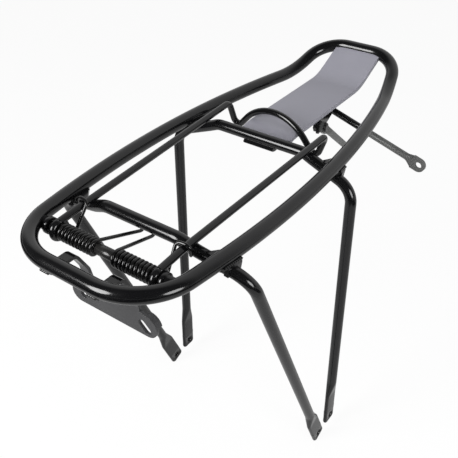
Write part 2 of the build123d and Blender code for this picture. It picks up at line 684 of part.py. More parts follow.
def make_lug():
    """Leaf on the swivel rivet with an ear turned down for the stay's bolt."""
    leaf = Circle(LUG_RADIUS) + Pos(ear_out / 2, 0) * Rectangle(ear_out, 2 * LUG_RADIUS)
    solid = extrude(Plane.XY.offset(leaf_low) * leaf, amount=LUG_THICK)
    outline = [
        (-LUG_EAR_BACK, -LUG_EAR_HEEL),
        (-LUG_RADIUS, 0),
        (LUG_RADIUS, 0),
        (LUG_EAR_FRONT, -LUG_EAR_TIP_TOP),
        (LUG_EAR_FRONT, -LUG_EAR_TIP_LOW),
        (-LUG_PIVOT_BACK + LUG_EAR_TOE, -LUG_EAR_DEPTH),
        (-LUG_EAR_BACK, -LUG_EAR_DEPTH),
    ]
    side = Plane((LUG_EAR_OFFSET, 0, 0), x_dir=(0, 1, 0), z_dir=(1, 0, 0))
    ear = extrude(side * make_face(Polyline(outline, close=True)), amount=LUG_THICK)
    corners = ear.edges().filter_by(Axis.X)
    ear = fillet(corners, LUG_EAR_CORNER)
    solid = solid + ear
    solid -= Pos(0, 0, leaf_low) * extrude(Circle(RIVET_DIA / 2 + RUNNING_FIT), amount=LUG_THICK)
    pivot = Plane((0, -LUG_PIVOT_BACK, pivot_low), x_dir=(0, 1, 0), z_dir=(1, 0, 0))
    return solid - extrude(pivot * Circle(BOLT_DIA / 2 + HOLE_EASE), amount=ear_out)


def make_rivet():
    """Shouldered rivet, flush in the bracket, with its head under the leaf."""
    shank_top = TOUCH_GAP + BRACKET_THICK
    head_top = leaf_low - TOUCH_GAP
    shank = Pos(0, 0, head_top) * extrude(Circle(RIVET_DIA / 2), amount=shank_top - head_top)
    head = Pos(0, 0, head_top) * extrude(Circle(RIVET_HEAD_DIA / 2), amount=-RIVET_HEAD_THICK)
    return shank + head


def make_bolt():
    """Round-headed bolt through the stay and the ear."""
    start = (LUG_EAR_OFFSET - NUT_THICK, -LUG_PIVOT_BACK, pivot_low)
    plane = Plane(start, x_dir=(0, 1, 0), z_dir=(1, 0, 0))
    head_at = stay_out + TOUCH_GAP - plane.origin.X
    shank = extrude(plane * Circle(BOLT_DIA / 2 - 2 * HOLE_EASE), amount=head_at)
    head = extrude(plane.offset(head_at) * Circle(BOLT_HEAD_DIA / 2), amount=BOLT_HEAD_THICK)
    rim_edge = head.edges().filter_by(GeomType.CIRCLE).sort_by(Axis.X)[-1]
    return shank + fillet([rim_edge], BOLT_HEAD_ROUND)


def make_nut():
    """Hexagon nut on the inner side of the ear."""
    plane = Plane((LUG_EAR_OFFSET, -LUG_PIVOT_BACK, pivot_low), x_dir=(0, 1, 0), z_dir=(-1, 0, 0))
    nut = extrude(plane * RegularPolygon(NUT_ACROSS / 2, 6, major_radius=False), amount=NUT_THICK)
    return nut - extrude(plane * Circle(BOLT_DIA / 2 - HOLE_EASE), amount=NUT_THICK)


def make_stay(droop):
    """Round rod with a flattened, holed paddle at each end, hanging at the droop angle."""
    angle = math.radians(droop)
    way = Vector(0, math.cos(angle), -math.sin(angle))
    flat_x = (stay_in + stay_out) / 2
    rod_x = stay_in + STAY_DIA / 2
    pivot = Vector(0, -LUG_PIVOT_BACK, pivot_low)
    flat_end = STAY_FLAT_LENGTH
    rod_end = flat_end + STAY_TAPER
    corner = STAY_FLAT_THICK / 2 - STAY_EDGE

    def section(x, distance):
        return Plane(Vector(x, 0, 0) + pivot + way * distance, x_dir=(1, 0, 0), z_dir=way)

    solid = extrude(section(rod_x, rod_end) * Circle(STAY_DIA / 2), amount=STAY_LENGTH - 2 * rod_end)
    face = Plane((stay_in, pivot.Y, pivot.Z), x_dir=way, z_dir=(1, 0, 0))
    for centre, turn, width in ((0, 1, STAY_ROOT_WIDTH), (STAY_LENGTH, -1, STAY_FLAT_WIDTH)):
        end = centre + turn * flat_end
        narrow = section(rod_x, end + turn * STAY_TAPER) * Circle(STAY_DIA / 2)
        wide = section(flat_x, end) * RectangleRounded(STAY_FLAT_THICK, width, corner)
        solid += loft([wide, narrow] if turn > 0 else [narrow, wide])
        neck = Pos((centre + end) / 2, 0) * Rectangle(flat_end, width)
        solid += extrude(face * (Pos(centre, 0) * Circle(width / 2) + neck), amount=STAY_FLAT_THICK)
    solid -= extrude(face * Circle(BOLT_DIA / 2 + 3 * HOLE_EASE), amount=STAY_FLAT_THICK)
    return solid - extrude(face * Pos(STAY_LENGTH, 0) * Circle(STAY_HOLE_DIA / 2), amount=STAY_FLAT_THICK)


stay_parts = {}
for name in ("right", "left"):
    frame = lug_frame(name)
    droop = RIGHT_DROOP if name == "right" else LEFT_DROOP
    pieces = {
        "swivel_lug": make_lug(),
        "swivel_rivet": make_rivet(),
        "stay_bolt": make_bolt(),
        "stay_nut": make_nut(),
        "stay": make_stay(droop),
    }
    for kind, piece in pieces.items():
        if name == "left":
            piece = mirror(piece, about=Plane.YZ)
        stay_parts[f"{name}_{kind}"] = frame.location * piece

nodes = {
    "loop_tube": loop_tube,
    "front_hoop": front_hoop,
    "rear_hoop": rear_hoop,
    "front_right_saddle": front_right_saddle,
    "front_left_saddle": mirror(front_right_saddle, about=Plane.YZ),
    "rear_right_saddle": rear_right_saddle,
    "rear_left_saddle": mirror(rear_right_saddle, about=Plane.YZ),
    "right_axle_ear": right_ear,
    "left_axle_ear": mirror(right_ear, about=Plane.YZ),
    "clip_axle": clip_axle,
    "axle_sleeve": axle_sleeve,
    "clip_bail": clip_bail,
    "right_spring": right_spring,
    "left_spring": left_spring,
    "deck_plate": deck_plate,
    "deck_hook": deck_hook,
    "light_bracket": light_bracket,
    "stay_bracket": stay_bracket,
    **stay_parts,
}

for node, shape in nodes.items():
    export_step(shape, f"parts/{node}.step")
    solids = shape.solids()
    print(node, len(solids), round(sum(s.volume for s in solids), 1), [s.is_valid for s in solids])
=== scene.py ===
import logging
import math
from dataclasses import dataclass, replace
from enum import Enum
from typing import Callable, Optional, Sequence

import bpy
import numpy as np
from bpy.types import ID, Material, NodeSocket, Object
from mathutils import Matrix, Vector
from numpy import ndarray


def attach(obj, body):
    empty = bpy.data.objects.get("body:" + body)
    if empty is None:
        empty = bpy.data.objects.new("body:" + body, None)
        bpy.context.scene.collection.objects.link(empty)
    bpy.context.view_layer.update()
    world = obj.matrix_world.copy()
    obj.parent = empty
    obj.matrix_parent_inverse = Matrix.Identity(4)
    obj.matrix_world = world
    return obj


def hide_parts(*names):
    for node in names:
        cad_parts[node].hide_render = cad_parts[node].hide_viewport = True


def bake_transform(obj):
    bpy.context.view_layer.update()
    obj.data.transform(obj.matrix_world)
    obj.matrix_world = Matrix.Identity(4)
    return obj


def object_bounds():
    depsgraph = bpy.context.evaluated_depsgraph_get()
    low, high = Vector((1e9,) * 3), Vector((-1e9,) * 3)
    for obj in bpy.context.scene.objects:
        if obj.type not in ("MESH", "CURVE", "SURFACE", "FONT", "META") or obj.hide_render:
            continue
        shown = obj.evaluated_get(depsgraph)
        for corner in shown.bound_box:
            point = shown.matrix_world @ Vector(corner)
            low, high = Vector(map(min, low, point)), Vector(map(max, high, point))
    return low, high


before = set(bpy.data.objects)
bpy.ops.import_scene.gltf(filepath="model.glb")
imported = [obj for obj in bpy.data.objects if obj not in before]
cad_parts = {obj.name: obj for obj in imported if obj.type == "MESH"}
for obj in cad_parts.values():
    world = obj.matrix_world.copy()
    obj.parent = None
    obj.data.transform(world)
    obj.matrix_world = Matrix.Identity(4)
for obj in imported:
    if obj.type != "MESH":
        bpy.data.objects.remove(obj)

LOG = logging.getLogger("rear_rack")
MM = 0.001
FRAME_BODY = "frame"
CLIP_BODY = "clip"
CAD_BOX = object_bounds()


class Side(Enum):
    """The rider's right or left, with the sign of X there."""

    RIGHT = 1
    LEFT = -1

    @property
    def word(self) -> str:
        """The side's name as the nodes spell it."""
        return self.name.lower()


# Shader expressions
def math_operator(operation: str, turned: bool = False) -> Callable:
    """A Python operator that adds one Math node.

    Args:
        operation: Blender's name of the operation.
        turned: True where the other value comes first.

    Returns:
        The method.
    """

    def operate(sock: "Sock", other: object) -> "Sock":
        """Links both values to the node."""
        first, second = (other, sock) if turned else (sock, other)
        return sock.book.make("Math", {0: first, 1: second}, operation=operation)

    return operate


class Sock:
    """A node's output that takes part in Python arithmetic."""

    def __init__(self, book: "NodeBook", socket: NodeSocket) -> None:
        """Keeps the node book and the socket."""
        self.book = book
        self.socket = socket

    __add__ = math_operator("ADD")
    __radd__ = math_operator("ADD", True)
    __mul__ = math_operator("MULTIPLY")
    __rmul__ = math_operator("MULTIPLY", True)

    def over(self, low: float, high: float) -> "Sock":
        """Share that goes smoothly from 0 to 1 as the value goes from low to high."""
        span = {"Value": self, "From Min": low, "From Max": high}
        return self.book.make("MapRange", span, interpolation_type="SMOOTHSTEP")


class NodeBook:
    """One material's or world's node tree, with one method that makes every node."""

    def __init__(self, owner: ID) -> None:
        """Takes over the tree of a material or world and empties it.

        Args:
            owner: The material or world.
        """
        owner.use_nodes = True
        self.tree = owner.node_tree
        self.tree.nodes.clear()

    def make(self, kind: str, inputs: Optional[dict] = None, output: object = 0, **settings: object) -> Sock:
        """Makes a node, sets it up and links it.

        Args:
            kind: Blender's name of the node type, without ShaderNode.
            inputs: Values or Socks for the node's input sockets.
            output: Name or index of the output to hand back.
            settings: Attributes of the node, set before its inputs.

        Returns:
            The chosen output.
        """
        node = self.tree.nodes.new(f"ShaderNode{kind}")
        for key, value in settings.items():
            setattr(node, key, value)
        for key, value in (inputs or {}).items():
            if isinstance(value, Sock):
                self.tree.links.new(value.socket, node.inputs[key])
            else:
                node.inputs[key].default_value = value
        return Sock(self, node.outputs[output] if node.outputs else None)

    def noise(self, place: Sock, scale: float, detail: float, roughness: float = 0.55) -> Sock:
        """Noise from 0 to 1 at a place in metres, with its cells per metre, octaves and their weight."""
        wanted = {"Vector": place, "Scale": scale, "Detail": detail, "Roughness": roughness}
        return self.make("TexNoise", wanted, "Fac")

    def ray(self, kind: str) -> Sock:
        """1 for rays of a kind, such as Camera, and 0 for the others."""
        return self.make("LightPath", output=f"Is {kind} Ray")

    def mix(self, share: Sock, first: object, second: object) -> Sock:
        """Mix of two colours, given as triples or Socks.

        Args:
            share: 0 for the first colour, 1 for the second.
            first: First colour.
            second: Second colour.

        Returns:
            The mixed colour.
        """
        first, second = (c if isinstance(c, Sock) else (*c, 1.0) for c in (first, second))
        wanted = {"Factor": share, 6: first, 7: second}
        return self.make("Mix", wanted, 2, data_type="RGBA", blend_type="MIX")


# Finishes
PATCH_NOISE = (38.0, 4.0)
PATCH_SPAN = (0.35, 0.72)
SPECK_NOISE = (2600.0, 2.0)
SPECK_SPAN = (0.62, 0.78)
PEEL_NOISE = (2.0, 0.45)
SPECK_IN_COLOUR = 0.2
SPECK_IN_ROUGHNESS = 0.1
COAT_IOR = 1.5
BEVEL_SAMPLES = 4


@dataclass(frozen=True)
class Coating:
    """A sprayed and baked coating, or blackened steel, on metal.

    Attributes:
        name: Name of the material.
        colour: Linear colour of the clean coat.
        shade: Linear colour of its duller patches.
        rough: Roughness of the clean coat.
        haze: How much rougher the duller patches are.
        peel: Height of the coat's orange peel, in millimetres.
        peel_size: Width of one cell of the orange peel, in millimetres.
        metal: Metallic share.
        edge: Width in millimetres over which sharp edges look rounded, 0 for none.
        dip: Darker coating painted over one end of the piece as painted shade, or None.
        dip_axis: Axis along which that painted end lies: X, Y or Z.
        dip_span: Places in millimetres along the axis where the painted shade is 0 and where it is full.
    """

    name: str
    colour: tuple
    shade: tuple
    rough: float
    haze: float
    peel: float
    peel_size: float
    metal: float = 0.0
    edge: float = 0.0
    dip: Optional["Coating"] = None
    dip_axis: str = "Z"
    dip_span: tuple = (0.0, 1.0)

    def material(self) -> Material:
        """Builds the node material.

        Returns:
            The new material.
        """
        made = bpy.data.materials.new(self.name)
        book = NodeBook(made)
        place = book.make("TexCoord", output="Object")
        patches = book.noise(place, *PATCH_NOISE).over(*PATCH_SPAN)
        specks = book.noise(place, *SPECK_NOISE).over(*SPECK_SPAN)
        peel = book.noise(place, 1.0 / (self.peel_size * MM), *PEEL_NOISE)
        dullness = patches * (1.0 - SPECK_IN_COLOUR) + specks * SPECK_IN_COLOUR
        colour = book.mix(dullness, self.colour, self.shade)
        rough = self.rough + self.haze * (patches + SPECK_IN_ROUGHNESS * specks)
        # Painted shade: the darker, glossier dip coat is painted over one end of the piece where that end
        # lies in shade.
        if self.dip:
            along = book.make("SeparateXYZ", {0: place}, self.dip_axis)
            painted_shade_share = along.over(*(value * MM for value in self.dip_span))
            colour = book.mix(painted_shade_share, colour, book.mix(dullness, self.dip.colour, self.dip.shade))
            rough = rough + (self.dip.rough - self.rough) * painted_shade_share
        bump_inputs = {"Strength": 1.0, "Distance": self.peel * MM, "Height": peel}
        if self.edge:
            radius = {"Radius": self.edge * MM}
            bump_inputs["Normal"] = book.make("Bevel", radius, samples=BEVEL_SAMPLES)
        normal = book.make("Bump", bump_inputs)
        looks = {"Base Color": colour, "Roughness": rough, "Normal": normal}
        looks.update({"Metallic": self.metal, "IOR": COAT_IOR})
        surface = book.make("BsdfPrincipled", looks)
        book.make("OutputMaterial", {"Surface": surface})
        return made


BLACK_COAT = Coating(
    "gloss_black_coat", (0.0032, 0.0032, 0.0037), (0.006, 0.006, 0.0065), 0.13, 0.03, 0.0004, 2.2
)
SATIN_COAT = Coating("satin_black_coat", (0.036, 0.036, 0.038), (0.05, 0.05, 0.052), 0.34, 0.1, 0.006, 0.9)
# The light bracket's tabs above about 232 mm take the gloss black dip. This is painted shade and painted dark
# reflection where the tabs lie under the springs and the axle.
BRACKET_COAT = replace(SATIN_COAT, edge=0.4, dip=BLACK_COAT, dip_span=(230.0, 233.0))
STAY_COAT = Coating("dark_grey_coat", (0.084, 0.086, 0.084), (0.104, 0.105, 0.103), 0.38, 0.1, 0.006, 0.9)
# The left stay's root, up to about 40 mm along X, takes the gloss black dip. This is painted shade where the
# root lies in the dark under the deck plate and its lugs.
STAY_PAINTED_SHADE_COAT = replace(
    STAY_COAT, name="black_dipped_coat", dip=BLACK_COAT, dip_axis="X", dip_span=(41.0, 40.0)
)
DECK_COAT = Coating("grey_coat", (0.27, 0.267, 0.308), (0.292, 0.289, 0.333), 0.46, 0.1, 0.006, 0.8, edge=0.5)
STEEL_COAT = Coating(
    "blackened_steel", (0.012, 0.012, 0.013), (0.03, 0.029, 0.028), 0.17, 0.12, 0.002, 0.5, metal=0.3
)
WIRE_COAT = Coating(
    "black_spring_wire", (0.003, 0.003, 0.0033), (0.008, 0.0078, 0.0078), 0.13, 0.08, 0.001, 0.6
)


class Finish(Enum):
    """The rack's finishes: the record's material slot and the coating."""

    GLOSS_BLACK = ("black_paint", BLACK_COAT)
    SATIN_BLACK = ("dull_black_paint", BRACKET_COAT)
    STAY_GREY = ("grey_black_paint", STAY_COAT)
    # Left stay, with painted shade on its root.
    STAY_DIPPED = ("grey_black_paint", STAY_PAINTED_SHADE_COAT)
    DECK_GREY = ("grey_paint", DECK_COAT)
    BLACK_STEEL = ("black_steel", STEEL_COAT)
    SPRING_WIRE = ("spring_steel", WIRE_COAT)

    def __init__(self, slot: str, coating: Coating) -> None:
        """Keeps the slot and the coating."""
        self.slot = slot
        self.coating = coating


class PaintShop:
    """Makes each finish once and puts it on pieces and nodes."""

    def __init__(self) -> None:
        """Starts with no paint mixed."""
        self.mixed: dict = {}

    def coat(self, piece: Object, finish: Finish) -> None:
        """Gives an object one finish as its only material.

        Args:
            piece: Object to paint.
            finish: Finish to put on.
        """
        if finish not in self.mixed:
            self.mixed[finish] = finish.coating.material()
        piece.data.materials.clear()
        piece.data.materials.append(self.mixed[finish])

    def dress(
        self,
        name: str,
        surface: "Surface",
        node: Optional[str],
        finish: Finish = Finish.GLOSS_BLACK,
        body: Optional[str] = FRAME_BODY,
    ) -> Object:
        """Makes a new piece, paints it and puts it in a node's place and on a body.

        Args:
            name: Name of the piece.
            surface: Its shape.
            node: Node that it stands for, or None.
            finish: Finish to put on.
            body: Body that it moves with, or None for no body.

        Returns:
            The piece.
        """
        piece = surface.piece(name)
        self.coat(piece, finish)
        if node:
            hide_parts(node)
        if body:
            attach(piece, body)
        return piece


# Surfaces on grids
MIRROR = np.array([-1.0, 1.0, 1.0])
RIGHTWARD = np.array([1.0, 0.0, 0.0])
UPWARD = np.array([0.0, 0.0, 1.0])
LEAST_ARC = 6


def placed(name: str, data: ID) -> Object:
    """A new object at the origin, linked to the scene.

    Args:
        name: Name of the object.
        data: Its mesh, lamp or camera.

    Returns:
        The object.
    """
    made = bpy.data.objects.new(name, data)
    bpy.context.scene.collection.objects.link(made)
    return made


def unit(ways: Sequence) -> ndarray:
    """A direction, or each row of directions, at length 1."""
    ways = np.asarray(ways, float)
    return ways / np.linalg.norm(ways, axis=-1, keepdims=True)


def full_turn(sides: int) -> ndarray:
    """Angles evenly round a full turn."""
    return np.linspace(0.0, 2.0 * np.pi, sides, endpoint=False)


@dataclass
class Surface:
    """A mesh in millimetres as arrays of points and quads or triangles."""

    points: ndarray
    faces: list

    @staticmethod
    def join(parts: Sequence["Surface"]) -> "Surface":
        """Puts several surfaces into one, each still closed in itself.

        Args:
            parts: The surfaces.

        Returns:
            The joined surface.
        """
        offsets = np.cumsum([0] + [len(part.points) for part in parts[:-1]])
        faces = [block + start for part, start in zip(parts, offsets) for block in part.faces]
        return Surface(np.vstack([part.points for part in parts]), faces)

    @staticmethod
    def of_rings(points: ndarray, ends: Optional[ndarray] = None) -> "Surface":
        """Quads between rings of points, with a fan of triangles on each open end.

        Args:
            points: Points by ring, place in the ring and coordinate.
            ends: The two end centres, or None where the last ring joins the first again.

        Returns:
            The closed surface.
        """
        rings, sides, _ = points.shape
        here = np.arange(rings * sides).reshape(rings, sides)
        after = np.roll(here, -1, axis=1)
        quads = np.stack([here, after, np.roll(after, -1, axis=0), np.roll(here, -1, axis=0)], axis=-1)
        flat = points.reshape(-1, 3)
        if ends is None:
            return Surface(flat, [quads.reshape(-1, 4)])
        centre = np.full(sides, rings * sides)
        start_fan = np.stack([centre, after[0], here[0]], axis=1)
        end_fan = np.stack([centre + 1, here[-1], after[-1]], axis=1)
        return Surface(np.vstack([flat, ends]), [quads[:-1].reshape(-1, 4), start_fan, end_fan])

    def mirrored(self) -> "Surface":
        """The surface on the other side of the rack's middle plane, facing outwards."""
        return Surface(self.points * MIRROR, [block[:, ::-1] for block in self.faces])

    def piece(self, name: str) -> Object:
        """Makes a smooth-shaded Blender object.

        Args:
            name: Name of the object and its mesh.

        Returns:
            The object.
        """
        mesh = bpy.data.meshes.new(name)
        faces = [row for block in self.faces for row in block.tolist()]
        mesh.from_pydata((self.points * MM).tolist(), [], faces)
        mesh.polygons.foreach_set("use_smooth", np.ones(len(faces), dtype=bool))
        mesh.validate()
        return placed(name, mesh)


def carried_frames(path: ndarray) -> tuple:
    """Directions across a path, carried on without twist.

    Each across direction is the one before it with its part along the new tangent taken away.

    Args:
        path: Points of the path.

    Returns:
        Two unit directions at each point, square to the path and to each other.
    """
    tangent = unit(np.gradient(path, axis=0))
    across = np.empty_like(tangent)
    seed = np.eye(3)[np.argmin(np.abs(tangent[0]))]
    for station, way in enumerate(tangent):
        seed = unit(seed - way * seed.dot(way))
        across[station] = seed
    return across, np.cross(tangent, across)


def swept_wire(path: ndarray, radius: object, sides: int, closed: bool = False) -> Surface:
    """Round wire or tube: a circle of each station's radius carried along the path.

    Point (i, j) is path_i + radius_i * (cos(a_j) * across_i + sin(a_j) * up_i).

    Args:
        path: Stations of the centre line, in millimetres.
        radius: Radius of the wire, or one for each station.
        sides: Points round the wire.
        closed: True where the last station leads on to the first.

    Returns:
        The closed surface.
    """
    across, up = carried_frames(path)
    angle = full_turn(sides)[None, :, None]
    radii = np.broadcast_to(radius, len(path))[:, None, None]
    points = path[:, None] + radii * (np.cos(angle) * across[:, None] + np.sin(angle) * up[:, None])
    return Surface.of_rings(points, None if closed else path[[0, -1]])


def pressed_tube(path: ndarray, normal: ndarray, wide: ndarray, thick: ndarray, sides: int) -> Surface:
    """Tube on a flat path, pressed at each station into a slot-shaped section.

    Point (i, j) is path_i + normal * (sign(cos(a_j)) * (wide_i - thick_i) / 2 + thick_i / 2 * cos(a_j))
    + up_i * thick_i / 2 * sin(a_j), so the section is round where wide and thick are the same.

    Args:
        path: Stations of the centre line, in millimetres.
        normal: Unit normal of the path's plane, along which the section is wide.
        wide: Width of the section at each station.
        thick: Thickness of the section at each station.
        sides: Points round the tube, an even number.

    Returns:
        The closed surface.
    """
    tangent = unit(np.gradient(path, axis=0))
    up = np.cross(tangent, normal)
    angle = (np.arange(sides) + 0.5) * (2.0 * np.pi / sides)
    across = np.sign(np.cos(angle)) * (wide - thick)[:, None] / 2.0 + np.cos(angle) * thick[:, None] / 2.0
    along = np.sin(angle) * thick[:, None] / 2.0
    points = path[:, None] + across[..., None] * normal + along[..., None] * up[:, None]
    return Surface.of_rings(points, path[[0, -1]])


def turned_piece(rings: Sequence, origin: Sequence, sides: int = 48, closed: bool = False) -> Surface:
    """A piece turned about a line along X.

    Each point of a ring (radius, height) is origin + (height, radius * sin(a), -radius * cos(a)).

    Args:
        rings: Rings from one end to the other.
        origin: Point of the axis at height 0.
        sides: Points in a ring.
        closed: True for a bored piece whose last ring joins the first.

    Returns:
        The closed surface.
    """
    radius, height = np.asarray(rings, float).T[..., None]
    angle = full_turn(sides)
    parts = np.broadcast_arrays(height, radius * np.sin(angle), -radius * np.cos(angle))
    points = np.stack(parts, axis=-1) + np.asarray(origin)
    return Surface.of_rings(points, None if closed else origin + height[[0, -1]] * RIGHTWARD)


def rounded_route(corners: Sequence, bends: Sequence, spacing: float) -> ndarray:
    """Straight runs through corners with an arc at each inner corner.

    An arc of radius r that turns by t begins and ends r * tan(t / 2) from its corner.

    Args:
        corners: Corner points.
        bends: Arc radius at each inner corner.
        spacing: Distance between stations on the arcs and runs.

    Returns:
        Stations of the route.
    """
    points = [np.asarray(corner, float) for corner in corners]
    here, route = points[0], []
    for before, corner, after, radius in zip(points, points[1:], points[2:], bends):
        into, away, turn = corner_turn(before, corner, after)
        reach = radius * math.tan(turn / 2.0)
        first = corner - into * reach
        centre = corner + unit(away - into) * (radius / math.cos(turn / 2.0))
        route.append(straight_run(here, first, spacing))
        count = max(LEAST_ARC, int(radius * turn / spacing))
        swing = np.linspace(0.0, turn, count, endpoint=False)[:, None]
        route.append(centre + (first - centre) * np.cos(swing) + into * radius * np.sin(swing))
        here = corner + away * reach
    route.append(straight_run(here, points[-1], spacing))
    route.append(points[-1][None])
    return np.vstack(route)


def corner_turn(before: ndarray, corner: ndarray, after: ndarray) -> tuple:
    """Unit directions into and away from a corner, and the angle between them."""
    into, away = unit(corner - before), unit(after - corner)
    return into, away, math.acos(float(np.clip(into.dot(away), -1.0, 1.0)))


def straight_run(first: ndarray, last: ndarray, spacing: float) -> ndarray:
    """Stations on a straight run, without its last point."""
    count = max(1, int(np.linalg.norm(last - first) / spacing))
    return first + (last - first) * np.linspace(0.0, 1.0, count, endpoint=False)[:, None]


# The rack's sizes that its dressed pieces share, in millimetres
@dataclass(frozen=True)
class RackSizes:
    """Sizes repeated from the part's source.

    Attributes are the loop's corners and bends, the tubes, the axle and the clip's sideways shift.
    """

    rail_height: float = 246.0
    rail_radius: float = 5.0
    hoop_radius: float = 4.0
    crossbar_rise: float = 1.0
    rear_bar_y: float = -126.2
    loop_rear_y: float = -183.5
    rear_corner: tuple = (51.8, -183.5)
    rear_bend: float = 38.5
    side_apex: tuple = (73.6, -18.0)
    kink: tuple = (43.0, 118.0)
    kink_bend: float = 70.0
    front_corner: tuple = (33.2, 155.158)
    front_bend: float = 28.0
    side_straight: float = 2.0
    axle_y: float = -157.3
    axle_z: float = 244.2
    axle_radius: float = 2.5
    touch_gap: float = 0.06
    kick_rise: float = 17.327
    clip_shift: float = 1.6

    def loop_corners(self) -> list:
        """Corners of the loop's right half, from the middle of its rear to the middle of its front.

        Returns:
            Corner points.
        """
        low, high = self.rail_height, self.rail_height + self.kick_rise
        flat = [(0.0, self.loop_rear_y), self.rear_corner, self.side_apex, self.kink]
        raised = [self.front_corner, (0.0, self.front_corner[1])]
        return [np.array([*p, low]) for p in flat] + [np.array([*p, high]) for p in raised]

    def side_bow(self) -> tuple:
        """Radius and centre of the right rail's long bow.

        The bow is the circle that touches the two straight lines through the side corner.

        Returns:
            Radius and centre.
        """
        rear_mid, rear, apex, kink, front, _ = self.loop_corners()
        into, away, turn = corner_turn(rear, apex, kink)
        free = min(
            np.linalg.norm(apex - rear) - corner_reach(rear_mid, rear, apex, self.rear_bend),
            np.linalg.norm(kink - apex) - corner_reach(apex, kink, front, self.kink_bend),
        )
        radius = (free - self.side_straight) / math.tan(turn / 2.0)
        return radius, apex + unit(away - into) * (radius / math.cos(turn / 2.0))

    def rail_at(self, y: float) -> tuple:
        """Centre of the right rail at a given Y on its long bow, and its forward direction there.

        Args:
            y: Place along the rack.

        Returns:
            Point and unit direction.
        """
        radius, centre = self.side_bow()
        along = y - centre[1]
        out = math.sqrt(radius**2 - along**2)
        way = np.array([-along, out, 0.0]) / radius
        return np.array([centre[0] + out, y, self.rail_height]), way


def corner_reach(before: ndarray, corner: ndarray, after: ndarray, radius: float) -> float:
    """Length of straight that a rounded corner takes from each side."""
    return radius * math.tan(corner_turn(before, corner, after)[2] / 2.0)


SIZES = RackSizes()


# Sub-assemblies
@dataclass
class PlatformLoop:
    """The platform's one bent tube, closed on itself and smooth all the way round."""

    sides: int = 56
    spacing: float = 2.2

    def centre_line(self) -> ndarray:
        """Stations of the whole loop: the right half and then its mirror image back to the start.

        Returns:
            Points of the path.
        """
        bends = [SIZES.rear_bend, SIZES.side_bow()[0], SIZES.kink_bend, SIZES.front_bend]
        right = rounded_route(SIZES.loop_corners(), bends, self.spacing)
        return np.vstack([right, right[-2:0:-1] * MIRROR])

    def build(self, shop: PaintShop) -> Object:
        """Bends the tube and paints it with the shop's finishes."""
        surface = swept_wire(self.centre_line(), SIZES.rail_radius, self.sides, True)
        return shop.dress("loop_tube_bent", surface, "loop_tube")


